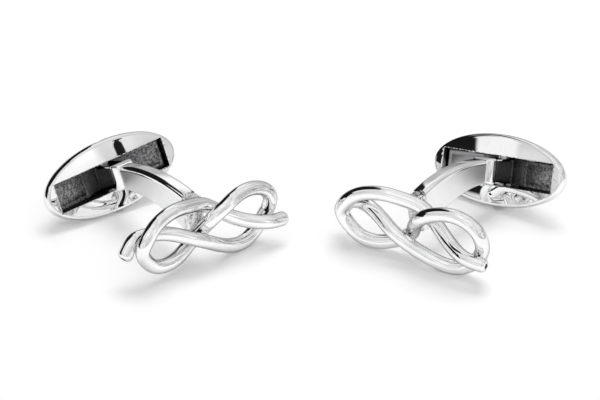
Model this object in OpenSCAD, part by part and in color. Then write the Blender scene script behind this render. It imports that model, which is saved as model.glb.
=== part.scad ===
// A pair of knot-front cufflinks with swivelling toggle backs, lying on a table as a pair.
// Each one: a round wire tied in a figure-eight knot, soldered on the end of an arched post,
// and an oval toggle that swings on a pin through the barrel at the post's root.
// Millimetres. +Z is up, the table is z = 0. Every size below may be changed on its own.
// Link frame (before a cufflink is laid down): X runs along the toggle, Y along the hinge pin,
// Z from the pin towards the knot, and the origin is on the pin, in the middle of the toggle.

/* [Toggle] */
// Length of the oval toggle
toggle_len = 17; // [12:0.5:24]
// Width of the oval toggle
toggle_w = 7.8; // [5.5:0.1:12]
// Height of the flat face over the pin's axis
face_h = 1.25; // [1:0.05:2.5]
// Height of the rounded edge between the widest line and the face
edge_h = 0.75; // [0.3:0.05:1.2]
// How far in from the widest line the face starts
edge_in = 0.5; // [0.3:0.05:1.5]
// Rise of the softly domed face in its middle
face_crown = 0.15; // [0:0.05:0.4]
// Depth of the rounded back under the widest line
back_d = 2.55; // [2.3:0.05:4]
// Length of the slot in the face
slot_len = 14.3; // [8:0.1:20]
// Width of the slot in the face
slot_w = 3.2; // [2.4:0.1:5]

/* [Hinge] */
// Diameter of the hinge pin
pin_d = 1.2; // [0.8:0.1:1.8]
// How far each pin end stays inside the toggle's widest line
pin_inset = 0.3; // [0.1:0.05:0.8]
// Diameter of the barrel at the post's root
barrel_d = 2.3; // [1.9:0.1:3]
// Length of the barrel along the pin
barrel_len = 2.6; // [1.8:0.1:4]
// Height over the pin's axis where the knuckle's rounded collar starts
knuckle_h = 2.7; // [1.6:0.1:4]
// Height of the collar that ends the knuckle round the post
shoulder_h = 1.7; // [0.4:0.1:2.4]
// How far the collar stands out
collar_out = 0.25; // [0:0.01:0.3]
// Radial running clearance of the barrel on its pin
pin_gap = 0.03; // [0.01:0.01:0.1]
// Swing of the toggle for viewing
swing = 0; // [-65:5:65]

/* [Leaf spring] */
// Thickness of the leaf spring
spring_t = 0.2; // [0.1:0.05:0.4]
// Clearance between the spring and the slot's sides
spring_gap = 0.2; // [0.02:0.01:0.28]
// Clearance between the barrel and the spring under it
cam_gap = 0.05; // [0.02:0.01:0.2]
// Height over the pin's axis of the spring's top at its two ends
spring_end_h = 0.35; // [0.1:0.05:0.8]
// Height over the pin's axis of the spring's top at its creases
spring_crease_h = -0.1; // [-0.6:0.05:0.2]
// Distance of each crease from the pin's axis
crease_x = 2.7; // [2.2:0.1:4]
// Half of the length of the dip under the barrel
dip_x = 1.5; // [1:0.1:2]

/* [Post] */
// Thickness of the post between its two flat sides
post_t = 1.8; // [1.2:0.1:2.2]
// Width of the post at the barrel
post_root_w = 2.3; // [1.5:0.1:3]
// Width of the post at the knot
post_end_w = 4.2; // [2:0.1:4.6]
// Length of the straight root before the arch starts
post_straight = 2.8; // [1.5:0.1:5]
// Radius of the arch, on the post's middle line
post_r = 18.5; // [15:0.5:40]
// Rounding of the arch's two long outer edges
outer_round = 0.5; // [0.1:0.05:0.7]
// Rounding of the arch's two long inner edges
inner_round = 0.15; // [0.05:0.05:0.7]

/* [Knot] */
// Diameter of the knot's round wire
wire_d = 1.55; // [1.2:0.05:2]
// Half length of the knot on the wire's middle line
knot_half_len = 10; // [8:0.5:14]
// Half width of the knot on the wire's middle line
knot_half_w = 3; // [2.6:0.1:4.5]
// How far the wire's middle line rises or dips at a crossing
wire_lift = 0.9; // [0.85:0.05:1.2]
// Sideways place of the knot's middle
knot_x = 0.1; // [-1:0.1:1]
// Place of the knot's middle across the toggle
knot_y = -6; // [-9:0.1:-3]
// Height of the knot's middle over the pin's axis
knot_z = 15.8; // [13:0.1:20]
// Tip of the knot's face away from the toggle's face, degrees
knot_tip = 17; // [0:1:40]
// Turn of the knot in its own plane, degrees
knot_turn = -8; // [-20:1:20]
// Depth of the rounding on the wire's cut ends
wire_end_round = 0.5; // [0.2:0.05:0.7]

/* [Solder seat] */
// Thickness of solder between the post and the lowest strand
seat_floor = 0.25; // [0.1:0.05:0.6]
// Length of the seat across the toggle
seat_len = 3.4; // [2:0.1:4]
// How far the seat's middle sits forward of the post's middle
seat_shift = 0.4; // [0:0.1:1.2]
// Width of the seat along the toggle
seat_w = 2; // [1.4:0.1:2.8]

/* [How the pair lies] */
// Distance of the left one's pin middle to the left
left_x = -21.2; // [-30:0.1:-16]
// Distance of the left one's pin middle to the back
left_y = 6.9; // [-20:0.1:20]
// Height of the left one's pin middle over the table
left_z = 3.67; // [2:0.01:8]
// Turn of the left one about the upright, degrees
left_yaw = 36.4; // [0:0.1:90]
// Lean of the left one's pin back from the upright, degrees
left_tilt = 22.6; // [0:0.1:60]
// Roll of the left one's toggle in its own plane, degrees
left_roll = 5.5; // [-20:0.1:20]
// Distance of the right one's pin middle to the right
right_x = 21.1; // [16:0.1:30]
// Distance of the right one's pin middle to the back
right_y = 7.9; // [-20:0.1:20]
// Height of the right one's pin middle over the table
right_z = 3.77; // [2:0.01:8]
// Turn of the right one about the upright, degrees
right_yaw = -39.8; // [-90:0.1:0]
// Lean of the right one's pin back from the upright, degrees
right_tilt = 21.05; // [0:0.05:60]
// Roll of the right one's toggle in its own plane, degrees
right_roll = 9.2; // [-20:0.1:20]

/* [Smoothness] */
// Sides around the wire
wire_sides = 18; // [16:2:40]
// Steps between two points of the wire's line
path_steps = 3; // [2:1:6]
// Facets around the toggle
toggle_facets = 80; // [48:8:160]
// Steps of each rounded part of the toggle's outline
round_steps = 7; // [5:1:16]
// Steps along the post's arch
arch_steps = 24; // [12:2:48]
// Steps of the knuckle's rounded collar
shoulder_steps = 8; // [4:1:12]
// Steps of the rounding on the post's edges
edge_steps = 4; // [2:1:6]

/* [Hidden] */
silver = [0.80, 0.80, 0.82];
solder_silver = [0.70, 0.70, 0.72];
spring_grey = [0.30, 0.30, 0.32];
overrun = 1;
fine_fn = 64;
half_turn = 180;
quarter_turn = 90;
wire_r = wire_d / 2;
pin_r = pin_d / 2;
barrel_r = barrel_d / 2;
toggle_a = toggle_len / 2;
toggle_b = toggle_w / 2;
waist_z = face_h - edge_h;
back_z = waist_z - back_d;
pin_len = toggle_w - 2 * pin_inset;
dip_h = -barrel_r - cam_gap;
post_cut_w = -wire_lift - wire_r - seat_floor;
seat_top_w = -wire_lift - wire_r / 4;

// The wire's middle line from end A to end B, in shares of the knot's half length, its half width
// and the crossing lift. It goes over, under, over, under like any figure-eight knot.
wire_line_shares = [
  [-0.97, -0.32, -0.85],
  [-0.87, 0.06, -1],
  [-0.74, 0.18, -1],
  [-0.57, 0.19, -0.4],
  [-0.39, 0.06, 0.3],
  [-0.21, -0.18, 0.9],
  [-0.05, -0.41, 1],
  [0.12, -0.69, 0.6],
  [0.31, -0.95, 0],
  [0.51, -1.06, -0.5],
  [0.67, -0.93, -0.9],
  [0.78, -0.63, -1],
  [0.87, -0.16, -0.7],
  [0.89, 0.27, -0.2],
  [0.84, 0.64, 0.1],
  [0.72, 0.9, 0.3],
  [0.56, 1, 0.5],
  [0.38, 0.92, 0.8],
  [0.2, 0.64, 1],
  [0.06, 0.18, 0.2],
  [-0.02, -0.23, -0.7],
  [-0.12, -0.56, -1],
  [-0.27, -0.83, -0.6],
  [-0.44, -0.97, -0.1],
  [-0.62, -0.95, 0.1],
  [-0.76, -0.67, 0.3],
  [-0.85, -0.22, 0.7],
  [-0.82, 0.2, 1],
  [-0.71, 0.58, 0.8],
  [-0.55, 0.82, 0.4],
  [-0.36, 0.92, 0],
  [-0.18, 0.87, -0.5],
  [0.03, 0.74, -1],
  [0.2, 0.44, -1],
  [0.37, 0.08, -0.5],
  [0.54, -0.18, 0.2],
  [0.71, -0.32, 0.9],
  [0.85, -0.39, 1],
  [0.97, -0.42, 0.8]
];

// Rounding of a cut wire end: share of the rounding depth, share of the wire's radius.
end_round_shares = [[0.45, 0.95], [0.8, 0.8], [1, 0.55]];

wire_knots = [for (s = wire_line_shares) [s[0] * knot_half_len, s[1] * knot_half_w, s[2] * wire_lift]];
wire_last = len(wire_knots) - 1;

function wire_knot(i) =
  i < 0 ? 2 * wire_knots[0] - wire_knots[1]
  : i > wire_last ? 2 * wire_knots[wire_last] - wire_knots[wire_last - 1]
  : wire_knots[i];

// Smooth line through the points, Catmull and Rom's form.
function smooth(a, b, c, d, t) =
  b + t * (c - a) / 2
  + t * t * (2 * a - 5 * b + 4 * c - d) / 2
  + t * t * t * (3 * b - a - 3 * c + d) / 2;

wire_line = [
  for (i = [0 : wire_last - 1])
    for (k = [0 : path_steps - 1])
      smooth(wire_knot(i - 1), wire_knot(i), wire_knot(i + 1), wire_knot(i + 2), k / path_steps),
  wire_knots[wire_last]
];
line_last = len(wire_line) - 1;

function unit(v) = v / norm(v);
function heading(i) = unit(wire_line[min(i + 1, line_last)] - wire_line[max(i - 1, 0)]);
function ring(centre, along, r) =
  let (side = unit(cross(along, [0, 0, 1])))
  let (up = cross(side, along))
  [for (k = [0 : wire_sides - 1])
    let (a = 2 * half_turn * k / wire_sides)
    centre + r * (cos(a) * side + sin(a) * up)];

round_last = len(end_round_shares) - 1;
start_rings = [
  for (k = [round_last : -1 : 0])
    ring(wire_line[0] - heading(0) * wire_end_round * end_round_shares[k][0], heading(0),
         wire_r * end_round_shares[k][1])
];
end_rings = [
  for (s = end_round_shares)
    ring(wire_line[line_last] + heading(line_last) * wire_end_round * s[0], heading(line_last), wire_r * s[1])
];
wire_rings = concat(start_rings, [for (i = [0 : line_last]) ring(wire_line[i], heading(i), wire_r)], end_rings);
ring_count = len(wire_rings);
wire_points = [for (r = wire_rings) each r];
wire_faces = concat(
  [[for (k = [wire_sides - 1 : -1 : 0]) k]],
  [for (j = [0 : ring_count - 2])
    for (k = [0 : wire_sides - 1])
      let (a = j * wire_sides + k)
      let (b = j * wire_sides + (k + 1) % wire_sides)
      each [[a, b, a + wire_sides], [b, b + wire_sides, a + wire_sides]]],
  [[for (k = [0 : wire_sides - 1]) (ring_count - 1) * wire_sides + k]]
);

// Outline of half the toggle in section, from the middle of the back round to the middle of the face.
toggle_outline = concat(
  [for (k = [0 : round_steps])
    let (a = quarter_turn * k / round_steps)
    [toggle_a * sin(a), waist_z - back_d * cos(a)]],
  [for (k = [1 : round_steps])
    let (a = quarter_turn * k / round_steps)
    [toggle_a - edge_in * (1 - cos(a)), waist_z + (edge_h - face_crown) * sin(a)]],
  [for (k = [1 : round_steps])
    let (s = 1 - k / round_steps)
    [(toggle_a - edge_in) * s, face_h - face_crown * s * s]]
);

// The spring's top line from one end to the other; the pocket in the toggle follows its underside.
function spring_line(end_x, drop) = [
  [-end_x, spring_end_h - drop],
  [-crease_x, spring_crease_h - drop],
  [-dip_x, dip_h - drop],
  [dip_x, dip_h - drop],
  [crease_x, spring_crease_h - drop],
  [end_x, spring_end_h - drop]
];
function reversed(v) = [for (k = [len(v) - 1 : -1 : 0]) v[k]];

// The arch ends on the plane behind the knot: its angle there, then a little more for a clean cut.
function arch_point(a, off) = [-post_r + (post_r + off) * cos(a), post_straight + (post_r + off) * sin(a)];
arch_rise = post_cut_w - sin(knot_tip) * (post_r + knot_y) + cos(knot_tip) * (knot_z - post_straight);
arch_end = knot_tip + asin(max(-1, min(1, arch_rise / post_r)));
arch_spare = 5;
arch_angle = arch_end + arch_spare;
post_top = arch_point(arch_end, 0);
seat_mid = (post_top[0] - knot_y) * cos(knot_tip) + (post_top[1] - knot_z) * sin(knot_tip) - seat_shift;
function post_half(s) = (post_root_w + (post_end_w - post_root_w) * s) / 2;

// One quarter of the post's section: its side is flat, its long edges are rounded.
function post_corner(half_w, turn, edge_r) = [
  for (k = [0 : edge_steps])
    let (a = turn + quarter_turn * k / edge_steps)
    let (mid_x = (post_t / 2 - edge_r) * sign(cos(turn + quarter_turn / 2)))
    let (mid_w = (half_w - edge_r) * sign(sin(turn + quarter_turn / 2)))
    [mid_x + edge_r * cos(a), mid_w + edge_r * sin(a)]
];
function post_section(half_w) = [
  for (q = [0 : 3])
    each post_corner(half_w, quarter_turn * q, q < 2 ? outer_round : inner_round)
];
post_sides = 4 * (edge_steps + 1);
post_points = concat(
  [for (p = post_section(post_root_w / 2)) [p[0], p[1], 0]],
  [for (k = [0 : arch_steps])
    let (s = k / arch_steps)
    for (p = post_section(post_half(s)))
      let (q = arch_point(arch_angle * s, p[1]))
      [p[0], q[0], q[1]]]
);
post_faces = concat(
  [[for (k = [0 : post_sides - 1]) k]],
  [for (j = [0 : arch_steps])
    for (k = [0 : post_sides - 1])
      let (a = j * post_sides + k)
      let (b = j * post_sides + (k + 1) % post_sides)
      each [[a, a + post_sides, b], [b, a + post_sides, b + post_sides]]],
  [[for (k = [post_sides - 1 : -1 : 0]) (arch_steps + 1) * post_sides + k]]
);

module along_pin(r, h) {
  rotate([quarter_turn, 0, 0])
    cylinder(h = h, r = r, center = true, $fn = fine_fn);
}

// Turns what lies in the toggle's X-Z section into a slab of the given width about the pin's middle.
module slab(w) {
  rotate([quarter_turn, 0, 0])
    linear_extrude(height = w, center = true)
      children();
}

module knot_place() {
  translate([knot_x, knot_y, knot_z])
    rotate([knot_tip, 0, 0])
      rotate([0, 0, knot_turn])
        children();
}

// Everything on the toggle's side of the plane where the post ends.
module behind_knot() {
  translate([knot_x, knot_y, knot_z])
    rotate([knot_tip, 0, 0])
      translate([-toggle_len, -toggle_len, post_cut_w - 2 * toggle_len])
        cube([2 * toggle_len, 2 * toggle_len, 2 * toggle_len]);
}

module wire() {
  polyhedron(points = wire_points, faces = wire_faces, convexity = 8);
}

module knot_wire() {
  color(silver)
    knot_place()
      wire();
}

module solder_seat() {
  color(solder_silver)
    difference() {
      translate([0, knot_y, knot_z])
        rotate([knot_tip, 0, 0])
          translate([-seat_w / 2, seat_mid - seat_len / 2, post_cut_w])
            cube([seat_w, seat_len, seat_top_w - post_cut_w]);
      knot_place()
        wire();
    }
}

// The knuckle: barrel-wide from the pin up, then a rounded collar that ends on the post.
function shoulder(wide, thin) = [
  for (k = [0 : shoulder_steps])
    let (a = half_turn * k / shoulder_steps)
    [thin + (wide - thin) * (1 + cos(a)) / 2 + collar_out * sin(a), knuckle_h + shoulder_h * k / shoulder_steps]
];
function both_sides(v) = concat(v, [for (p = reversed(v)) [-p[0], p[1]]]);

module knuckle() {
  intersection() {
    slab(barrel_len + 2 * collar_out)
      polygon(both_sides(concat([[barrel_r, 0]], shoulder(barrel_r, post_t / 2))));
    rotate([quarter_turn, 0, quarter_turn])
      linear_extrude(height = barrel_d + 2 * collar_out, center = true)
        polygon(both_sides(concat([[barrel_len / 2, 0]], shoulder(barrel_len / 2, post_root_w / 2))));
  }
}

module post() {
  color(silver)
    difference() {
      union() {
        knuckle();
        intersection() {
          polyhedron(points = post_points, faces = post_faces, convexity = 8);
          behind_knot();
        }
        along_pin(barrel_r, barrel_len);
      }
      along_pin(pin_r + pin_gap, barrel_len + 2 * overrun);
    }
}

module toggle_shell() {
  color(silver)
    difference() {
      scale([1, toggle_w / toggle_len, 1])
        rotate_extrude($fn = toggle_facets)
          polygon(toggle_outline);
      slab(slot_w)
        polygon(concat(spring_line(slot_len / 2, spring_t),
                       [[slot_len / 2, face_h + overrun], [-slot_len / 2, face_h + overrun]]));
      along_pin(pin_r, toggle_w + 2 * overrun);
    }
}

module leaf_spring() {
  color(spring_grey)
    slab(slot_w - 2 * spring_gap)
      polygon(concat(spring_line(slot_len / 2 - spring_gap, 0),
                     reversed(spring_line(slot_len / 2 - spring_gap, spring_t))));
}

module hinge_pin() {
  color(silver)
    along_pin(pin_r, pin_len);
}

module swung() {
  rotate([0, swing, 0])
    children();
}

module lay_left() {
  translate([left_x, left_y, left_z])
    rotate([0, 0, left_yaw])
      rotate([quarter_turn - left_tilt, 0, 0])
        rotate([0, 0, left_roll])
          children();
}

module lay_right() {
  translate([right_x, right_y, right_z])
    rotate([0, 0, right_yaw])
      rotate([quarter_turn - right_tilt, 0, 0])
        rotate([0, 0, right_roll])
          children();
}

module left_knot_wire() {
  lay_left()
    knot_wire();
}

module left_solder_seat() {
  lay_left()
    solder_seat();
}

module left_post() {
  lay_left()
    post();
}

module left_toggle_shell() {
  lay_left()
    swung()
      toggle_shell();
}

module left_leaf_spring() {
  lay_left()
    swung()
      leaf_spring();
}

module left_hinge_pin() {
  lay_left()
    hinge_pin();
}

module right_knot_wire() {
  lay_right()
    knot_wire();
}

module right_solder_seat() {
  lay_right()
    solder_seat();
}

module right_post() {
  lay_right()
    post();
}

module right_toggle_shell() {
  lay_right()
    swung()
      toggle_shell();
}

module right_leaf_spring() {
  lay_right()
    swung()
      leaf_spring();
}

module right_hinge_pin() {
  lay_right()
    hinge_pin();
}

left_knot_wire();
left_solder_seat();
left_post();
left_toggle_shell();
left_leaf_spring();
left_hinge_pin();
right_knot_wire();
right_solder_seat();
right_post();
right_toggle_shell();
right_leaf_spring();
right_hinge_pin();
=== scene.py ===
import math

import bpy
from mathutils import Matrix, Vector


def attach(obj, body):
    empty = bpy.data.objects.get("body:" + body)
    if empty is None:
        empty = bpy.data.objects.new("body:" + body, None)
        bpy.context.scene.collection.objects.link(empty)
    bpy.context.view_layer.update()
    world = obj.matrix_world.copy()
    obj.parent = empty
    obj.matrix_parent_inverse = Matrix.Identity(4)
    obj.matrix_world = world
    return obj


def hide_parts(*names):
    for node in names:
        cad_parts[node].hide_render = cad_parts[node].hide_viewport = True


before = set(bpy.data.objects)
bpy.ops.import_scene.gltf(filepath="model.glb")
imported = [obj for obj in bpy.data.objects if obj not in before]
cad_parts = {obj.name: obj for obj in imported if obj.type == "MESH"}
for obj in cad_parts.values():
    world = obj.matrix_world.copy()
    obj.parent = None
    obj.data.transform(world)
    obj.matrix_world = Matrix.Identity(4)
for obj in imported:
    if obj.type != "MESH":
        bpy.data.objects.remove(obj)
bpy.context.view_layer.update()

MM = 0.001
QUARTER = math.radians(90)

# Faces and edges are told apart by their place, within one of these two distances in metres.
TIGHT, LOOSE = 1e-6, 1e-5

# Sizes, as in the part's source. Only PIN_INSET is 0.1 mm less, since the pin's ends are domed.

TOGGLE_LEN, TOGGLE_W = 17 * MM, 7.8 * MM
FACE_H, EDGE_H, CROWN = 1.25 * MM, 0.75 * MM, 0.15 * MM
BACK_D, SLOT_LEN, SLOT_W = 2.55 * MM, 14.3 * MM, 3.2 * MM
PIN_R, PIN_INSET, BARREL_R, BARREL_LEN = 0.6 * MM, 0.2 * MM, 1.15 * MM, 2.6 * MM
SPRING_T, SPRING_GAP, CAM_GAP = 0.2 * MM, 0.2 * MM, 0.05 * MM
SPRING_END_H, SPRING_CREASE_H, CREASE_X, DIP_X = 0.35 * MM, -0.1 * MM, 2.7 * MM, 1.5 * MM
POST_T, POST_ROOT_W, POST_END_W = 1.8 * MM, 2.3 * MM, 4.2 * MM
POST_STRAIGHT, POST_R, OUTER_ROUND, INNER_ROUND = 2.8 * MM, 18.5 * MM, 0.5 * MM, 0.15 * MM
WIRE_R, WIRE_END, HALF_LEN, HALF_W, LIFT = 0.775 * MM, 0.5 * MM, 10 * MM, 3 * MM, 0.9 * MM
KNOT = Vector((0.1, -6, 15.8)) * MM
KNOT_TIP, KNOT_TURN = math.radians(17), math.radians(-8)
SEAT_FLOOR, SEAT_LEN, SEAT_W, SEAT_SHIFT = 0.25 * MM, 3.4 * MM, 2 * MM, 0.4 * MM
WAIST = FACE_H - EDGE_H
DIP_H = -BARREL_R - CAM_GAP
POST_CUT = -LIFT - WIRE_R - SEAT_FLOOR
SEAT_TOP = -LIFT - WIRE_R / 4

# Where each cufflink lies: its place in millimetres, and how far it is turned and tipped.
SIDES = {
    "left": Matrix.Translation(Vector((-21.2, 6.9, 3.67)) * MM)
    @ Matrix.Rotation(math.radians(36.4), 4, "Z")
    @ Matrix.Rotation(math.radians(90 - 22.6), 4, "X")
    @ Matrix.Rotation(math.radians(5.5), 4, "Z"),
    "right": Matrix.Translation(Vector((21.1, 7.9, 3.77)) * MM)
    @ Matrix.Rotation(math.radians(-39.8), 4, "Z")
    @ Matrix.Rotation(math.radians(90 - 21.05), 4, "X")
    @ Matrix.Rotation(math.radians(9.2), 4, "Z"),
}
KNOT_PLACE = (
    Matrix.Translation(KNOT)
    @ Matrix.Rotation(KNOT_TIP, 4, "X")
    @ Matrix.Rotation(KNOT_TURN, 4, "Z")
)
# The plane of the knot without its own turn, which the post's end and the solder follow.
TIP_PLACE = Matrix.Translation(Vector((0, KNOT.y, KNOT.z))) @ Matrix.Rotation(KNOT_TIP, 4, "X")

# Finishing sizes, which only this script has. RIM_SIDE is how wide the rim is along the
# toggle's sides, as a share of its width at the two ends.

KNUCKLE_EDGE, BARREL_EDGE, BORE_SPARE, HOLLOW_R = 0.22 * MM, 0.08 * MM, 0.03 * MM, 0.28 * MM
RIM_SIDE, SLOT_BREAK, PIN_DOME = 0.85, 0.1 * MM, 0.3 * MM
FRAME_INSET, FRAME_CORNER, SPRING_EDGE = 0.26 * MM, 0.24 * MM, 0.03 * MM
SEAT_SINK, SEAT_FILLET, SEAT_EDGE = 0.12 * MM, 0.35 * MM, 0.25 * MM
LUMP_SIZE, LUMP_HEIGHT = 0.7 * MM, 0.28 * MM
# The arch is built longer by this angle, and a block of this size cuts it off.
POST_SPARE, SAW = math.radians(5), 10 * MM
# Into how many steps the arch is divided, and the toggle's outline, back and face
POST_STEPS, TOGGLE_ROUND, TOGGLE_BACK, TOGGLE_FACE = 90, 224, 32, 25
# The right cufflink's inner spring wing lies between these two places along X.
RUBBED_FROM, RUBBED_TO = 15 * MM, 19.7 * MM

# The wire's middle line from one cut end to the other, in shares of the knot's half length,
# its half width and the crossing lift.
WIRE_LINE = [
    (-0.97, -0.32, -0.85), (-0.87, 0.06, -1), (-0.74, 0.18, -1), (-0.57, 0.19, -0.4),
    (-0.39, 0.06, 0.3), (-0.21, -0.18, 0.9), (-0.05, -0.41, 1), (0.12, -0.69, 0.6),
    (0.31, -0.95, 0), (0.51, -1.06, -0.5), (0.67, -0.93, -0.9), (0.78, -0.63, -1),
    (0.87, -0.16, -0.7), (0.89, 0.27, -0.2), (0.84, 0.64, 0.1), (0.72, 0.9, 0.3),
    (0.56, 1, 0.5), (0.38, 0.92, 0.8), (0.2, 0.64, 1), (0.06, 0.18, 0.2),
    (-0.02, -0.23, -0.7), (-0.12, -0.56, -1), (-0.27, -0.83, -0.6), (-0.44, -0.97, -0.1),
    (-0.62, -0.95, 0.1), (-0.76, -0.67, 0.3), (-0.85, -0.22, 0.7), (-0.82, 0.2, 1),
    (-0.71, 0.58, 0.8), (-0.55, 0.82, 0.4), (-0.36, 0.92, 0), (-0.18, 0.87, -0.5),
    (0.03, 0.74, -1), (0.2, 0.44, -1), (0.37, 0.08, -0.5), (0.54, -0.18, 0.2),
    (0.71, -0.32, 0.9), (0.85, -0.39, 1), (0.97, -0.42, 0.8),
]


# Workshop helpers

def clear():
    """Leaves edit mode and selects nothing."""
    if bpy.context.object and bpy.context.object.mode != "OBJECT":
        bpy.ops.object.mode_set(mode="OBJECT")
    bpy.ops.object.select_all(action="DESELECT")


def take(piece):
    """Makes the piece the only one selected, and the active one."""
    clear()
    piece.select_set(True)
    bpy.context.view_layer.objects.active = piece


def pick(piece, kind, test):
    """In edit mode, selects the faces or edges whose middle passes the test."""
    bpy.ops.object.mode_set(mode="OBJECT")
    mesh = piece.data
    for v in mesh.vertices:
        v.select = False
    for e in mesh.edges:
        e.select = False
    for f in mesh.polygons:
        f.select = False
    if kind == "FACE":
        for f in mesh.polygons:
            f.select = bool(test(f.center, f.normal))
    else:
        for e in mesh.edges:
            a, b = (mesh.vertices[i].co for i in e.vertices)
            e.select = bool(test((a + b) / 2, (b - a).normalized()))
    bpy.ops.object.mode_set(mode="EDIT")
    bpy.ops.mesh.select_mode(type=kind)


def modifier(piece, kind, **values):
    """Adds a modifier with these values and applies it."""
    take(piece)
    bpy.ops.object.modifier_add(type=kind)
    made = piece.modifiers[-1]
    for key, value in values.items():
        setattr(made, key, value)
    bpy.ops.object.modifier_apply(modifier=made.name)


def smooth(piece, degrees):
    """Smooth shading, but for edges that turn by more than these degrees."""
    take(piece)
    bpy.ops.object.shade_smooth_by_angle(angle=math.radians(degrees))


def fix_place():
    """Moves the active piece's place, turn and size into its mesh."""
    bpy.ops.object.transform_apply(location=True, rotation=True, scale=True)


def settle(piece, place):
    """Puts the piece at its place in the frame, with the place kept in its mesh."""
    take(piece)
    piece.matrix_world = place @ piece.matrix_world
    fix_place()


def dress(piece, *names):
    """Gives the piece these finishes, in the order of its slots."""
    piece.data.materials.clear()
    for name in names:
        piece.data.materials.append(FINISHES[name])


def even_faces(piece):
    """Merges doubled points and turns every face outward."""
    take(piece)
    bpy.ops.object.mode_set(mode="EDIT")
    bpy.ops.mesh.select_all(action="SELECT")
    bpy.ops.mesh.remove_doubles(threshold=1e-7)
    bpy.ops.mesh.normals_make_consistent(inside=False)
    bpy.ops.object.mode_set(mode="OBJECT")


def outline_block(points, width):
    """A plate cut to an outline in the toggle's X-Z section, `width` thick along the pin."""
    clear()
    bpy.ops.curve.primitive_bezier_curve_add(location=(0, 0, 0))
    piece = bpy.context.object
    curve = piece.data
    curve.splines.clear()
    curve.dimensions = "2D"
    curve.fill_mode = "BOTH"
    line = curve.splines.new("POLY")
    line.points.add(len(points) - 1)
    for spot, (x, z) in zip(line.points, points):
        spot.co = (x, z, 0, 1)
    line.use_cyclic_u = True
    curve.extrude = width / 2
    bpy.ops.object.convert(target="MESH")
    piece = bpy.context.object
    settle(piece, Matrix.Rotation(QUARTER, 4, "X"))
    even_faces(piece)
    return piece


def rod(sides, radius, length):
    """A round rod along the hinge pin's line."""
    clear()
    bpy.ops.mesh.primitive_cylinder_add(vertices=sides, radius=radius, depth=length,
                                        rotation=(QUARTER, 0, 0))
    return bpy.context.object


def cut_away(piece, tool):
    """Cuts the tool's form out of the piece and removes the tool."""
    modifier(piece, "BOOLEAN", operation="DIFFERENCE", solver="EXACT", object=tool)
    bpy.data.objects.remove(tool)


def soften(piece, width, segments, degrees):
    """Rounds every edge that turns by more than these degrees."""
    modifier(piece, "BEVEL", width=width, segments=segments, limit_method="ANGLE",
             angle_limit=math.radians(degrees))


# Finishes

def sum_of(tree, kind, a, b=None, c=None):
    """A Math node in the tree; each input is a number or a socket."""
    node = tree.nodes.new("ShaderNodeMath")
    node.operation = kind
    for socket, value in zip(node.inputs, (a, b, c)):
        if isinstance(value, (int, float)):
            socket.default_value = value
        elif value is not None:
            tree.links.new(value, socket)
    return node.outputs[0]


def ramp(tree, value, low, high, to_low=0.0, to_high=1.0):
    """A soft step from to_low to to_high, while the value goes from low to high."""
    node = tree.nodes.new("ShaderNodeMapRange")
    node.interpolation_type = "SMOOTHSTEP"
    tree.links.new(value, node.inputs["Value"])
    ends = {"From Min": low, "From Max": high, "To Min": to_low, "To Max": to_high}
    for name, number in ends.items():
        node.inputs[name].default_value = number
    return node.outputs["Result"]


def window(tree, value, low, high, soft):
    """1 between low and high, 0 outside, with soft edges."""
    up = ramp(tree, value, low - soft, low + soft)
    down = ramp(tree, value, high - soft, high + soft, 1.0, 0.0)
    return sum_of(tree, "MULTIPLY", up, down)


def grain(tree, per_metre, detail, stretch=(1, 1, 1), turn=(0, 0, 0), shift=0.0):
    """Noise on the piece's own coordinates, drawn out and turned."""
    coords = tree.nodes.new("ShaderNodeTexCoord")
    laid = tree.nodes.new("ShaderNodeMapping")
    laid.inputs["Location"].default_value = (shift, shift, shift)
    laid.inputs["Rotation"].default_value = turn
    laid.inputs["Scale"].default_value = stretch
    noise = tree.nodes.new("ShaderNodeTexNoise")
    noise.inputs["Scale"].default_value = per_metre
    noise.inputs["Detail"].default_value = detail
    tree.links.new(coords.outputs["Object"], laid.inputs["Vector"])
    tree.links.new(laid.outputs["Vector"], noise.inputs["Vector"])
    return noise.outputs["Fac"]


def new_group(name, inputs, outputs):
    """A shader group with these sockets: its tree, its input node and its output node."""
    tree = bpy.data.node_groups.new(name, "ShaderNodeTree")
    for label in inputs:
        tree.interface.new_socket(label, in_out="INPUT", socket_type="NodeSocketFloat")
    for label in outputs:
        tree.interface.new_socket(label, in_out="OUTPUT", socket_type="NodeSocketFloat")
    return tree, tree.nodes.new("NodeGroupInput"), tree.nodes.new("NodeGroupOutput")


# Hand polish: the surface is a little wavy, with fine crossing wheel marks and hazy patches.
# Heights are in millimetres.
POLISH, given, made = new_group("hand_polish", ["Wave", "Scratch"], ["Height", "Haze", "Marks"])
wave = sum_of(POLISH, "MULTIPLY", grain(POLISH, 420, 1.0), given.outputs["Wave"])
marks = ramp(POLISH, grain(POLISH, 2600, 1.0, (1, 1, 0.03), (0.4, 0.2, 0)), 0.6, 0.72)
for turn, shift in (((0.3, 1.5, 0.4), 3.1), ((1.2, 0.5, 2.2), 7.7)):
    crossing = grain(POLISH, 3000, 1.0, (1, 1, 0.04), turn, shift)
    marks = sum_of(POLISH, "MAXIMUM", marks, ramp(POLISH, crossing, 0.62, 0.74))
cuts = sum_of(POLISH, "MULTIPLY", marks, given.outputs["Scratch"])
POLISH.links.new(sum_of(POLISH, "SUBTRACT", wave, cuts), made.inputs["Height"])
POLISH.links.new(ramp(POLISH, grain(POLISH, 300, 3.0, shift=1.7), 0.45, 0.72), made.inputs["Haze"])
POLISH.links.new(marks, made.inputs["Marks"])

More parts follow.
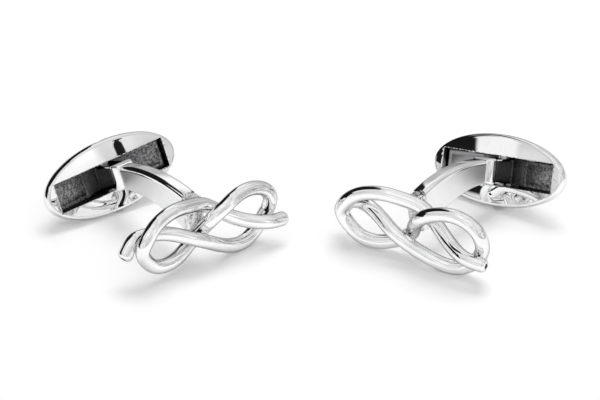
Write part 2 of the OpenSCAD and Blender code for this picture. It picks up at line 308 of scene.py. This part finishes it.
# Speckle: coarse and fine grains mixed, for the dark spring, the solder and the pocket walls.
SPECKLE, given, made = new_group("speckle", ["Coarse", "Fine"], ["Grain", "Pits"])
coarse = sum_of(SPECKLE, "MULTIPLY", grain(SPECKLE, 3600, 2.0), given.outputs["Coarse"])
fine = grain(SPECKLE, 8500, 2.0, shift=0.9)
fine = sum_of(SPECKLE, "MULTIPLY", fine, given.outputs["Fine"])
SPECKLE.links.new(sum_of(SPECKLE, "ADD", coarse, fine), made.inputs["Grain"])
pits = ramp(SPECKLE, grain(SPECKLE, 5200, 1.0, shift=2.3), 0.6, 0.7)
SPECKLE.links.new(pits, made.inputs["Pits"])


def use_group(tree, group, **values):
    """Places a group in a material, with this material's own values."""
    node = tree.nodes.new("ShaderNodeGroup")
    node.node_tree = group
    for name, value in values.items():
        node.inputs[name].default_value = value
    return node


def tone_between(tree, share, low, high):
    """A colour between two, by share."""
    mix = tree.nodes.new("ShaderNodeMix")
    mix.data_type = "RGBA"
    tree.links.new(share, mix.inputs["Factor"])
    mix.inputs["A"].default_value = (*low, 1)
    mix.inputs["B"].default_value = (*high, 1)
    return mix.outputs["Result"]


def bump_from(tree, height, millimetres=1.0):
    """Makes a height into fine relief; one unit of height is so many millimetres."""
    bump = tree.nodes.new("ShaderNodeBump")
    bump.inputs["Strength"].default_value = 1
    bump.inputs["Distance"].default_value = millimetres * MM
    tree.links.new(height, bump.inputs["Height"])
    tree.links.new(bump.outputs["Normal"], tree.nodes["Principled BSDF"].inputs["Normal"])


def new_finish(name, metallic=1.0, edge=1.0):
    """A new material: the material, its tree and its shader."""
    finish = bpy.data.materials.new(name)
    finish.use_nodes = True
    shader = finish.node_tree.nodes["Principled BSDF"]
    shader.inputs["Metallic"].default_value = metallic
    shader.inputs["Specular Tint"].default_value = (edge, edge, edge, 1)
    return finish, finish.node_tree, shader


def silver(name, tone, rough, haze, wave, scratch, edge):
    """Polished silver: haze and wheel marks raise the roughness and dull the tone a little.
    wave and scratch are heights in millimetres, edge is the tint of grazing reflections."""
    finish, tree, shader = new_finish(name, edge=edge)
    polish = use_group(tree, POLISH, Wave=wave, Scratch=scratch)
    worn = sum_of(tree, "ADD", sum_of(tree, "MULTIPLY", polish.outputs["Haze"], 0.7),
                  sum_of(tree, "MULTIPLY", polish.outputs["Marks"], 0.3))
    tree.links.new(sum_of(tree, "MULTIPLY_ADD", worn, haze, rough), shader.inputs["Roughness"])
    dull = tuple(v * 0.93 for v in tone)
    tree.links.new(tone_between(tree, worn, tone, dull), shader.inputs["Base Color"])
    bump_from(tree, polish.outputs["Height"])
    return finish


def solder_finish():
    """Bright frozen solder, with darker pits."""
    finish, tree, shader = new_finish("solder", edge=0.5)
    speck = use_group(tree, SPECKLE, Coarse=0.5, Fine=0.5)
    grains = speck.outputs["Grain"]
    dark = sum_of(tree, "MAXIMUM", speck.outputs["Pits"], ramp(tree, grains, 0.48, 0.36))
    tree.links.new(tone_between(tree, dark, (0.95, 0.95, 0.955), (0.4, 0.4, 0.4)),
                   shader.inputs["Base Color"])
    tree.links.new(ramp(tree, grains, 0.35, 0.65, 0.06, 0.25), shader.inputs["Roughness"])
    bump_from(tree, grains, 0.06)
    return finish


def painted_pocket_shade_finish():
    """The slot's walls: black, a painted shade in the slot, with paler patches here and there along
    the edge.
    """
    finish, tree, shader = new_finish("pocket_painted_shade")
    grains = use_group(tree, SPECKLE, Coarse=0.5, Fine=0.5).outputs["Grain"]
    rubbed = ramp(tree, grain(tree, 330, 1.0, shift=4.2), 0.56, 0.6)
    # The black tone is painted shade in the slot; the pale patches come from noise.
    tree.links.new(tone_between(tree, rubbed, (0.035, 0.035, 0.037), (0.6, 0.6, 0.61)),
                   shader.inputs["Base Color"])
    tree.links.new(ramp(tree, grains, 0.35, 0.65, 0.12, 0.35), shader.inputs["Roughness"])
    bump_from(tree, grains, 0.01)
    return finish


def spring_finish():
    """Dark mottled spring steel: grainier and paler out on the wings. The dip between the creases
    is a little paler, painted light against its shade, and duller, and the right cufflink's inner
    wing is rubbed bright and smooth."""
    finish, tree, shader = new_finish("spring_steel", metallic=0.85)
    speck = use_group(tree, SPECKLE, Coarse=0.55, Fine=0.45)
    where = tree.nodes.new("ShaderNodeAttribute")
    where.attribute_name = "along"
    out = ramp(tree, where.outputs["Fac"], 0.38, 0.85, 0.5, 1.0)
    dip_painted_light = window(tree, where.outputs["Fac"], -0.1, 0.388, 0.004)
    across = tree.nodes.new("ShaderNodeSeparateXYZ")
    tree.links.new(tree.nodes.new("ShaderNodeTexCoord").outputs["Object"], across.inputs[0])
    rubbed = window(tree, across.outputs["X"], RUBBED_FROM, RUBBED_TO, 0.3 * MM)
    mottle = ramp(tree, speck.outputs["Grain"], 0.36, 0.66)
    mottle = sum_of(tree, "MULTIPLY", mottle, sum_of(tree, "SUBTRACT", 1.0, speck.outputs["Pits"]))
    light = sum_of(tree, "MULTIPLY", mottle, sum_of(tree, "ADD", out, 0.05))
    light = sum_of(tree, "MULTIPLY_ADD", light, 0.85, sum_of(tree, "MULTIPLY", out, 0.1))
    light = sum_of(tree, "MAXIMUM", light, rubbed)
    # The dip's paler tone is painted light, lifting the shade and dark reflection in it.
    light = sum_of(tree, "MULTIPLY_ADD", dip_painted_light, 0.3, light)
    tree.links.new(tone_between(tree, light, (0.026, 0.026, 0.027), (0.5, 0.5, 0.51)),
                   shader.inputs["Base Color"])
    rough = sum_of(tree, "MULTIPLY_ADD", mottle, 0.2, 0.3)
    tree.links.new(sum_of(tree, "MULTIPLY_ADD", dip_painted_light, 0.25, rough), shader.inputs["Roughness"])
    grainy = sum_of(tree, "MULTIPLY", out, sum_of(tree, "MULTIPLY_ADD", rubbed, -0.9, 1.0))
    bump_from(tree, sum_of(tree, "MULTIPLY", speck.outputs["Grain"], grainy), 0.03)
    return finish


# The knuckle's two flat sides are a darker silver than the rest: a painted reflection of the dark
# slot and spring they face.
FINISHES = {
    "knot_wire": silver("wire_silver", (0.97, 0.97, 0.972), 0.015, 0.05, 0.006, 0.0002, 0.3),
    "post": silver("post_silver", (0.96, 0.96, 0.963), 0.02, 0.05, 0.003, 0.0002, 0.4),
    "post_side": silver("post_satin_side", (0.93, 0.93, 0.935), 0.36, 0.05, 0.001, 0.00005, 1.0),
    "post_painted_reflection": silver("knuckle_painted_reflection", (0.3, 0.3, 0.305), 0.1, 0.1, 0.001, 0.00005, 0.6),
    "toggle_shell": silver("toggle_silver", (0.95, 0.95, 0.953), 0.008, 0.02, 0.0015, 0.00005, 0.6),
    # The pin's darker silver is painted shade.
    "hinge_pin": silver("pin_silver", (0.6, 0.6, 0.605), 0.06, 0.08, 0.002, 0.0003, 0.6),
    "solder_seat": solder_finish(),
    "leaf_spring": spring_finish(),
    "pocket": painted_pocket_shade_finish(),
}


# The pieces, each in its cufflink's own frame

def knot_wire_piece():
    """One round wire along the knot's line, its two ends rounded and dimpled where they were cut."""
    points = [Vector((a * HALF_LEN, b * HALF_W, c * LIFT)) for a, b, c in WIRE_LINE]
    last = len(points) - 1
    slopes = [points[min(i + 1, last)] - points[max(i - 1, 0)] for i in range(last + 1)]
    # The slopes are evened out until the line bends smoothly through every point.
    rounds = 60
    for _ in range(rounds):
        for i in range(1, last):
            slopes[i] = (3 * (points[i + 1] - points[i - 1]) - slopes[i - 1] - slopes[i + 1]) / 4
    clear()
    bpy.ops.curve.primitive_bezier_curve_add(location=(0, 0, 0))
    piece = bpy.context.object
    curve = piece.data
    curve.dimensions = "3D"
    line = curve.splines[0]
    line.bezier_points.add(last - 1)
    for spot, point, slope in zip(line.bezier_points, points, slopes):
        spot.handle_left_type = spot.handle_right_type = "FREE"
        spot.co = point
        spot.handle_left = point - slope / 3
        spot.handle_right = point + slope / 3
    curve.resolution_u = 10
    curve.bevel_depth = WIRE_R
    curve.bevel_resolution = 10
    curve.use_fill_caps = True
    bpy.ops.object.convert(target="MESH")
    piece = bpy.context.object
    dress(piece, "knot_wire", "pocket")
    even_faces(piece)
    for end, along in ((points[0], -slopes[0].normalized()), (points[-1], slopes[-1].normalized())):
        pick(piece, "FACE", lambda c, n: (c - end).length < WIRE_R and abs(n.dot(along)) > 0.95)
        bpy.ops.mesh.dissolve_faces()
        steps, before, spot = 9, 1.0, end
        for k in range(1, steps + 1):
            a = QUARTER * k / steps
            share = 0.5 + 0.5 * math.cos(a)
            step = WIRE_END * (math.sin(a) - math.sin(a - QUARTER / steps))
            spot = spot + along * step
            bpy.ops.mesh.extrude_region_move(TRANSFORM_OT_translate={"value": along * step})
            bpy.ops.transform.resize(value=(share / before,) * 3, center_override=spot)
            before = share
        # The hollow: a flat rim, a steep side, a dished floor.
        for inward, down in ((0.1, 0), (0.03, 0.1), (0.1, 0.1)):
            bpy.ops.mesh.inset(thickness=inward * MM, depth=-down * MM)
        bpy.ops.object.mode_set(mode="OBJECT")
        # The hollow's faces take the black pocket finish: painted shade in the hollow.
        for face in piece.data.polygons:
            at_end = (face.center - spot).length < HOLLOW_R
            if at_end and face.normal.dot(along) < 0.999 or face.select:
                face.material_index = 1
    even_faces(piece)
    smooth(piece, 50)
    settle(piece, KNOT_PLACE)
    return piece


# The rounded collar where the knuckle ends round the post: height, half thickness, half width.
COLLAR = [
    (2.7, 1.15, 1.3), (2.85, 1.17, 1.31), (3, 1.23, 1.34), (3.12, 1.3, 1.38), (3.25, 1.35, 1.41),
    (3.4, 1.375, 1.425), (3.55, 1.37, 1.42), (3.7, 1.34, 1.4), (3.85, 1.29, 1.37), (4, 1.22, 1.32),
    (4.15, 1.13, 1.28), (4.27, 1.04, 1.23), (4.36, 0.96, 1.18), (4.42, 0.88, 1.12),
]


def arch_point(angle, off):
    """The place across and up of a point of the arch, so far outside its middle line."""
    return (
        -POST_R + (POST_R + off) * math.cos(angle),
        POST_STRAIGHT + (POST_R + off) * math.sin(angle),
    )


def off_arch(c):
    """How far a point of the post lies outside its middle line; negative is inside the arch."""
    if c.z < POST_STRAIGHT:
        return c.y
    return math.hypot(c.y + POST_R, c.z - POST_STRAIGHT) - POST_R


# The angle at which the arch meets the slanting cut under the solder.
ARCH_RISE = (
    POST_CUT - math.sin(KNOT_TIP) * (POST_R + KNOT.y)
    + math.cos(KNOT_TIP) * (KNOT.z - POST_STRAIGHT)
)
ARCH_END = KNOT_TIP + math.asin(ARCH_RISE / POST_R)


def post_piece():
    """The arched flat post, with the rounded knuckle and the barrel at its root."""
    total = ARCH_END + POST_SPARE

    def edge_point(k, way):
        half = (POST_ROOT_W + (POST_END_W - POST_ROOT_W) * (k / POST_STEPS)) / 2
        return arch_point(total * k / POST_STEPS, way * half)

    outer = [edge_point(k, 1) for k in range(POST_STEPS + 1)]
    inner = [edge_point(k, -1) for k in range(POST_STEPS, -1, -1)]
    root = POST_ROOT_W / 2
    arch = outline_block([(root, 0)] + outer + inner + [(-root, 0)], POST_T)
    settle(arch, Matrix.Rotation(QUARTER, 4, "Z"))
    # Each flank becomes one face, so that the bevel meets nothing but the outline.
    for flank in (1, -1):
        pick(arch, "FACE", lambda c, n: n.x * flank > 0.99)
        bpy.ops.mesh.dissolve_faces()
    for way, radius, segments in ((1, OUTER_ROUND, 9), (-1, INNER_ROUND, 4)):
        pick(arch, "EDGE", lambda c, d: abs(abs(c.x) - POST_T / 2) < TIGHT and abs(d.x) < 0.1
             and c.z > 0.01 * MM and way * off_arch(c) > POST_ROOT_W / 2 - LOOSE)
        bpy.ops.mesh.bevel(offset=radius, segments=segments, affect="EDGES")
    # A block cuts the arch's spare end along the plane of the knot.
    clear()
    bpy.ops.mesh.primitive_cube_add(size=SAW, location=(0, 0, POST_CUT + SAW / 2))
    saw = bpy.context.object
    fix_place()
    settle(saw, TIP_PLACE)
    cut_away(arch, saw)
    even_faces(arch)
    smooth(arch, 40)
    modifier(arch, "WEIGHTED_NORMAL", keep_sharp=True, weight=100)

    clear()
    collar_foot = COLLAR[0][0] * MM
    bpy.ops.mesh.primitive_cube_add(size=1, location=(0, 0, 0))
    knuckle = bpy.context.object
    knuckle.dimensions = (2 * BARREL_R, BARREL_LEN, collar_foot)
    knuckle.location = (0, 0, collar_foot / 2)
    fix_place()
    pick(knuckle, "EDGE", lambda c, d: abs(d.z) > 0.9)
    bpy.ops.mesh.bevel(offset=KNUCKLE_EDGE, segments=6, affect="EDGES")
    pick(knuckle, "FACE", lambda c, n: n.z > 0.9)
    x, y, z = BARREL_R, BARREL_LEN / 2, collar_foot
    for height, half_x, half_y in COLLAR[1:]:
        bpy.ops.mesh.extrude_region_move(TRANSFORM_OT_translate={"value": (0, 0, height * MM - z)})
        share = (half_x * MM / x, half_y * MM / y, 1)
        bpy.ops.transform.resize(value=share, center_override=(0, 0, height * MM))
        x, y, z = half_x * MM, half_y * MM, height * MM
    smooth(knuckle, 60)

    barrel = rod(96, BARREL_R, BARREL_LEN)
    fix_place()
    pick(barrel, "FACE", lambda c, n: abs(n.y) > 0.9)
    bpy.ops.mesh.inset(thickness=BARREL_R - PIN_R - BORE_SPARE, depth=0)
    bpy.ops.mesh.bridge_edge_loops()
    soften(barrel, BARREL_EDGE, 3, 50)
    smooth(barrel, 40)

    for block in (arch, knuckle, barrel):
        dress(block, "post", "post_side", "post_painted_reflection")
    for face in arch.data.polygons:
        face.material_index = 1 if abs(face.normal.x) > 0.999 else 0
    for face in knuckle.data.polygons:
        # The knuckle's flat sides take the darker silver, a painted reflection of the dark slot.
        flat_side = abs(face.normal.x) > 0.95 and face.center.z < collar_foot
        face.material_index = 2 if flat_side else 0
    take(arch)
    knuckle.select_set(True)
    barrel.select_set(True)
    bpy.ops.object.join()
    return arch


def solder_piece():
    """The lump of solder that carries the knot on the post's end, uneven as it froze."""
    clear()
    bpy.ops.mesh.primitive_cube_add(size=1, location=(0, 0, 0))
    piece = bpy.context.object
    top = SEAT_TOP + SEAT_SINK
    piece.dimensions = (SEAT_W, SEAT_LEN + SEAT_FILLET, top - POST_CUT)
    fix_place()
    bpy.ops.object.mode_set(mode="EDIT")
    bpy.ops.mesh.select_all(action="SELECT")
    bpy.ops.mesh.subdivide(number_cuts=6)
    soften(piece, SEAT_EDGE, 4, 60)
    modifier(piece, "SUBSURF", levels=2, render_levels=2)
    lumps = bpy.data.textures.new("solder_lumps", "CLOUDS")
    lumps.noise_scale = LUMP_SIZE
    lumps.noise_depth = 2
    modifier(piece, "DISPLACE", texture=lumps, texture_coords="LOCAL", strength=LUMP_HEIGHT,
             mid_level=0.55)
    smooth(piece, 60)
    end_y, end_z = arch_point(ARCH_END, 0)
    mid = (end_y - KNOT.y) * math.cos(KNOT_TIP) + (end_z - KNOT.z) * math.sin(KNOT_TIP) - SEAT_SHIFT
    centre = Vector((0, mid + SEAT_FILLET / 2, (POST_CUT + top) / 2))
    settle(piece, TIP_PLACE @ Matrix.Translation(centre))
    return piece


def spring_line(end_x, drop):
    """The spring's section from end to end, lowered by `drop`."""
    return [
        (-end_x, SPRING_END_H - drop), (-CREASE_X, SPRING_CREASE_H - drop), (-DIP_X, DIP_H - drop),
        (DIP_X, DIP_H - drop), (CREASE_X, SPRING_CREASE_H - drop), (end_x, SPRING_END_H - drop),
    ]


# The rim from the widest line up to the face: how far inward, how far up. A steep wall, a soft
# edge and a narrow bevel.
RIM = [
    (0.008, 0.05), (0.02, 0.12), (0.036, 0.19), (0.056, 0.26), (0.08, 0.33), (0.108, 0.4),
    (0.14, 0.463), (0.177, 0.512), (0.22, 0.545), (0.27, 0.567), (0.33, 0.582), (0.4, 0.593),
    (0.46, 0.598), (0.5, 0.6),
]


def toggle_piece():
    """The oval back: rings from the back to the face, slotted for the spring, drilled for the pin."""
    half_x, half_y = TOGGLE_LEN / 2, TOGGLE_W / 2
    rings = []
    for k in range(1, TOGGLE_BACK + 1):
        a = QUARTER * k / TOGGLE_BACK
        rings.append((half_x * math.sin(a), half_y * math.sin(a), WAIST - BACK_D * math.cos(a)))
    for inward, rise in RIM:
        rings.append((half_x - inward * MM, half_y - inward * RIM_SIDE * MM, WAIST + rise * MM))
    top_x, top_y, top_z = rings[-1]
    for k in range(1, TOGGLE_FACE):
        share = 1 - k / TOGGLE_FACE
        rings.append((top_x * share, top_y * share, top_z + CROWN * (1 - share * share)))
    clear()
    first_x, first_y, first_z = rings[0]
    bpy.ops.mesh.primitive_circle_add(vertices=TOGGLE_ROUND, radius=1 * MM, fill_type="NGON",
                                      location=(0, 0, 0))
    piece = bpy.context.object
    piece.scale = (first_x / MM, first_y / MM, 1)
    piece.location = (0, 0, first_z)
    fix_place()
    pick(piece, "FACE", lambda c, n: True)
    bpy.ops.mesh.poke()
    pick(piece, "EDGE", lambda c, d: c.x ** 2 / first_x ** 2 + c.y ** 2 / first_y ** 2 > 0.98)
    for (x0, y0, z0), (x1, y1, z1) in zip(rings, rings[1:]):
        bpy.ops.mesh.extrude_edges_move(TRANSFORM_OT_translate={"value": (0, 0, z1 - z0)})
        bpy.ops.transform.resize(value=(x1 / x0, y1 / y0, 1), center_override=(0, 0, z1))
    bpy.ops.mesh.edge_face_add()
    even_faces(piece)

    end_x, wall_y, above = SLOT_LEN / 2, SLOT_W / 2, FACE_H + MM
    pocket = outline_block(spring_line(end_x, SPRING_T) + [(end_x, above), (-end_x, above)], SLOT_W)
    cut_away(piece, pocket)
    pick(piece, "EDGE", lambda c, d: c.z > FACE_H - 2 * CROWN and abs(d.z) < 0.5 and (
        abs(abs(c.y) - wall_y) < TIGHT and abs(c.x) < end_x - TIGHT
        or abs(abs(c.x) - end_x) < TIGHT and abs(c.y) < wall_y - TIGHT))
    bpy.ops.mesh.bevel(offset=SLOT_BREAK, segments=4, affect="EDGES")
    cut_away(piece, rod(64, PIN_R, 2 * TOGGLE_W))
    smooth(piece, 30)
    dress(piece, "toggle_shell", "pocket")
    # The slot's walls, ends and bed take the black pocket finish: painted shade in the slot.
    for face in piece.data.polygons:
        x, y, z = face.center
        inside = abs(x) < end_x + LOOSE and abs(y) < wall_y + LOOSE and z < FACE_H
        wall = abs(abs(y) - wall_y) < LOOSE and abs(face.normal.y) > 0.99
        end = abs(abs(x) - end_x) < LOOSE and abs(face.normal.x) > 0.99
        bed = abs(face.normal.y) < 0.01 and face.normal.z > 0.5 and abs(y) < wall_y - LOOSE
        bed = bed and z < SPRING_END_H
        face.material_index = 1 if inside and (wall or end or bed) else 0
    return piece


def spring_piece():
    """The leaf spring: a strip bent at its creases, with a pressed frame line round each wing."""
    end_x = SLOT_LEN / 2 - SPRING_GAP
    top = spring_line(end_x, 0)
    under = spring_line(end_x, SPRING_T)[::-1]
    piece = outline_block(top + under, SLOT_W - 2 * SPRING_GAP)
    bpy.ops.object.mode_set(mode="EDIT")
    bpy.ops.mesh.select_all(action="SELECT")
    bpy.ops.mesh.dissolve_limited(angle_limit=math.radians(0.5))
    for way in (-1, 1):
        pick(piece, "FACE", lambda c, n: n.z > 0.9 and c.x * way > CREASE_X)
        bpy.ops.mesh.inset(thickness=FRAME_INSET, depth=0)
        bpy.ops.mesh.bevel(offset=FRAME_CORNER, segments=5, affect="VERTICES")
        pick(piece, "FACE", lambda c, n: n.z > 0.9 and c.x * way > CREASE_X + MM
             and abs(c.y) < 0.1 * MM and abs(c.x * way - (CREASE_X + end_x) / 2) < 0.3 * MM)
        # The pressed line: down, along its bottom, and most of the way up again.
        for inward, rise in ((0.05, -0.05), (0.06, 0), (0.05, 0.04)):
            bpy.ops.mesh.inset(thickness=inward * MM, depth=rise * MM)
    soften(piece, SPRING_EDGE, 2, 60)
    smooth(piece, 40)
    along = piece.data.attributes.new("along", "FLOAT", "POINT")
    for i, v in enumerate(piece.data.vertices):
        along.data[i].value = abs(v.co.x) / end_x
    return piece


def pin_piece():
    """The hinge pin, its two ends riveted over to a low dome."""
    piece = rod(64, PIN_R, TOGGLE_W - 2 * PIN_INSET)
    fix_place()
    soften(piece, PIN_DOME, 6, 50)
    smooth(piece, 40)
    return piece


# Putting the pieces in place

BODY = {
    "knot_wire": "front", "post": "front", "solder_seat": "front",
    "toggle_shell": "toggle", "leaf_spring": "toggle", "hinge_pin": "toggle",
}
MAKERS = {
    "knot_wire": knot_wire_piece, "post": post_piece, "solder_seat": solder_piece,
    "toggle_shell": toggle_piece, "leaf_spring": spring_piece, "hinge_pin": pin_piece,
}

# Each piece is made once. The left cufflink takes a copy, the right one the piece itself.
for part, make in MAKERS.items():
    model = make()
    if not model.data.materials:
        dress(model, part)
    for side, place in SIDES.items():
        clear()
        piece = model if side == "right" else model.copy()
        if side == "left":
            piece.data = model.data.copy()
            bpy.context.scene.collection.objects.link(piece)
        piece.name = piece.data.name = f"{side}_{part}_finished"
        settle(piece, place)
        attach(piece, f"{side}_{BODY[part]}")
        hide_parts(f"{side}_{part}")

# Floor, light and camera

clear()
bpy.ops.mesh.primitive_plane_add(size=6, location=(0, 0, 0))
floor = bpy.context.object
floor.name = "floor"
# White paper: paler, and faintly lit, where the camera or a mirroring surface sees it.
paper = bpy.data.materials.new("white_paper")
paper.use_nodes = True
sheet = paper.node_tree
sheet.nodes.clear()
rays = sheet.nodes.new("ShaderNodeLightPath")
diffuse = sheet.nodes.new("ShaderNodeBsdfDiffuse")
lift = sheet.nodes.new("ShaderNodeEmission")
both = sheet.nodes.new("ShaderNodeAddShader")
out = sheet.nodes.new("ShaderNodeOutputMaterial")
seen = sum_of(sheet, "MAXIMUM", rays.outputs["Is Camera Ray"], rays.outputs["Is Glossy Ray"])
seen = sum_of(sheet, "MAXIMUM", seen, rays.outputs["Is Transmission Ray"])
white = tone_between(sheet, seen, (0.86, 0.86, 0.86), (0.97, 0.97, 0.97))
sheet.links.new(white, diffuse.inputs["Color"])
sheet.links.new(sum_of(sheet, "MULTIPLY", seen, 0.07), lift.inputs["Strength"])
sheet.links.new(diffuse.outputs[0], both.inputs[0])
sheet.links.new(lift.outputs[0], both.inputs[1])
sheet.links.new(both.outputs[0], out.inputs["Surface"])
floor.data.materials.append(paper)

# The light tent: pale cloth with soft folds. A dark card with a near wing and a leaning foot
# stands on the left, a thin dark stand on the right, and two thin dark seams run over the cloth.
# Directions are in degrees: round from straight back, and up.
CLOTH_DIM, CLOTH_BRIGHT, STRIP_BRIGHT = 0.54, 0.84, 0.95
SEAM_HALF, SEAM_SOFT, SEAM_DARK, CARD_DARK = 0.8, 0.4, 0.75, 0.985
LEAN_FROM, FOOT_LEAN = 8.0, 0.43
STAND_ROUND, STAND_MID, STAND_LEAN, STAND_HALF = 111.2, 14.0, -0.06, 0.36
STAND_LOW, STAND_TOP, HEAD_LOW, HEAD_TALL = 8, 20.1, 18.7, 1.5

world = bpy.data.worlds.new("light_tent")
bpy.context.scene.world = world
world.use_nodes = True
tent = world.node_tree
ray = tent.nodes.new("ShaderNodeTexCoord")
split = tent.nodes.new("ShaderNodeSeparateXYZ")
tent.links.new(ray.outputs["Generated"], split.inputs[0])
round_deg = sum_of(
    tent, "MULTIPLY", sum_of(tent, "ARCTAN2", split.outputs["X"], split.outputs["Y"]), 180 / math.pi
)
up_deg = sum_of(tent, "MULTIPLY", sum_of(tent, "ARCSINE", split.outputs["Z"]), 180 / math.pi)


def patch(round_low, round_high, round_soft, up_low, up_high, up_soft, lean=0.0):
    """A panel of the tent. A leaning one goes round by `lean` degrees for each degree up."""
    height = sum_of(tent, "SUBTRACT", up_deg, LEAN_FROM)
    across = sum_of(tent, "MULTIPLY_ADD", height, -lean, round_deg)
    return sum_of(
        tent, "MULTIPLY",
        window(tent, across, round_low, round_high, round_soft),
        window(tent, up_deg, up_low, up_high, up_soft),
    )


def seam(line, round_low, round_high):
    """A thin dark line of the tent. It follows `line`, its height in degrees on the way round."""
    return sum_of(
        tent, "MULTIPLY",
        window(tent, sum_of(tent, "SUBTRACT", up_deg, line), -SEAM_HALF, SEAM_HALF, SEAM_SOFT),
        window(tent, round_deg, round_low, round_high, 2),
    )


folds = tent.nodes.new("ShaderNodeTexNoise")
folds.inputs["Scale"].default_value = 4.5
folds.inputs["Detail"].default_value = 2
tent.links.new(ray.outputs["Generated"], folds.inputs["Vector"])
level = ramp(tent, folds.outputs["Fac"], 0.3, 0.7, CLOTH_DIM, CLOTH_BRIGHT)
for amount, place in (
    (0.1, (-200, -112, 8, -5, 95, 2)),      # left front, a little brighter
    (0.1, (-185, 185, 1, 45, 95, 12)),      # overhead
    (0.36, (-21, 10, 3, 29, 47, 4)),        # window panel behind
    (0.3, (112.6, 128, 0.5, 4, 34, 5)),     # bright strip on one side of the stand
    (0.12, (109.4, 111, 0.8, 4, 30, 4)),    # a weaker one on the other side
    (-0.16, (-26, 26, 6, -6, 9, 4)),        # the horizon behind
    (-0.16, (118, 185, 6, -6, 8, 3)),       # the horizon in front, right
    (-0.1, (30, 104, 10, -6, 30, 8)),       # the right wall
):
    level = sum_of(tent, "MULTIPLY_ADD", patch(*place), amount, level)
# The lit strip beside the card's foot leans with it.
bright = patch(-109.2, -104.6, 0.9, 0, 30, 6, FOOT_LEAN)
bright = sum_of(tent, "MULTIPLY", bright, STRIP_BRIGHT)
level = sum_of(tent, "MAXIMUM", level, bright)

# The right seam is a low arch from 60 to 165 degrees round, the left one a straight fall.
line = sum_of(tent, "MULTIPLY", sum_of(tent, "SUBTRACT", round_deg, 60.0), math.pi / 105)
line = sum_of(tent, "MULTIPLY_ADD", sum_of(tent, "SINE", line), 14.0, 15.0)
seam_right = seam(line, 60, 165)
line = sum_of(tent, "MULTIPLY_ADD", sum_of(tent, "ADD", round_deg, 155.0), -25 / 65, 40.0)
seam_left = seam(line, -155, -106)
dark = sum_of(tent, "MULTIPLY", sum_of(tent, "MAXIMUM", seam_right, seam_left), SEAM_DARK)
for place in (
    (-78, -27, 0.8, -2, 62, 0.8),                   # the card
    (-41, -12, 0.6, 7, 45, 0.8),                    # its near wing
    (-105.1, -70, 0.25, 1, 30, 0.5, FOOT_LEAN),     # its foot
):
    dark = sum_of(tent, "MAXIMUM", dark, patch(*place))

# The stand narrows to a rounded head.
head = tent.nodes.new("ShaderNodeClamp")
height = sum_of(tent, "SUBTRACT", up_deg, HEAD_LOW)
tent.links.new(sum_of(tent, "MULTIPLY", height, 1 / HEAD_TALL), head.inputs[0])
half = sum_of(tent, "SUBTRACT", 1.0, sum_of(tent, "POWER", head.outputs[0], 2.0))
half = sum_of(tent, "MULTIPLY", sum_of(tent, "SQRT", half), STAND_HALF)
height = sum_of(tent, "SUBTRACT", up_deg, STAND_MID)
line = sum_of(tent, "MULTIPLY_ADD", height, STAND_LEAN, STAND_ROUND)
away = sum_of(tent, "ABSOLUTE", sum_of(tent, "SUBTRACT", round_deg, line))
stand = ramp(tent, sum_of(tent, "SUBTRACT", half, away), -0.04, 0.08)
stand = sum_of(tent, "MULTIPLY", stand, window(tent, up_deg, STAND_LOW, STAND_TOP, 0.15))
dark = sum_of(tent, "MAXIMUM", dark, stand)
level = sum_of(tent, "MULTIPLY", level, sum_of(tent, "MULTIPLY_ADD", dark, -CARD_DARK, 1.0))
tent.links.new(level, tent.nodes["Background"].inputs["Strength"])
tent.nodes["Background"].inputs["Color"].default_value = (1, 1, 1, 1)

clear()
bpy.ops.object.light_add(type="AREA", location=(0.05, 0.25, 0.6))
lamp = bpy.context.object
lamp.name = "top_softbox"
lamp.data.size = 0.4
lamp.data.energy = 1.7
lamp.visible_glossy = False
lamp.rotation_euler = (-lamp.location).to_track_quat("-Z", "Y").to_euler()

# The camera solved from the photograph: a long lens, about 27 degrees above the table.
eye = bpy.data.cameras.new("camera")
camera = bpy.data.objects.new("camera", eye)
bpy.context.scene.collection.objects.link(camera)
camera.location = (-0.00058, -0.6101, 0.3139)
camera.rotation_euler = Vector((0, 0.8917, -0.4526)).to_track_quat("-Z", "Y").to_euler()
eye.lens = 387.8
eye.sensor_width = 36
eye.clip_start = 0.05
eye.clip_end = 10
bpy.context.scene.camera = camera
bpy.context.scene.view_settings.view_transform = "Standard"
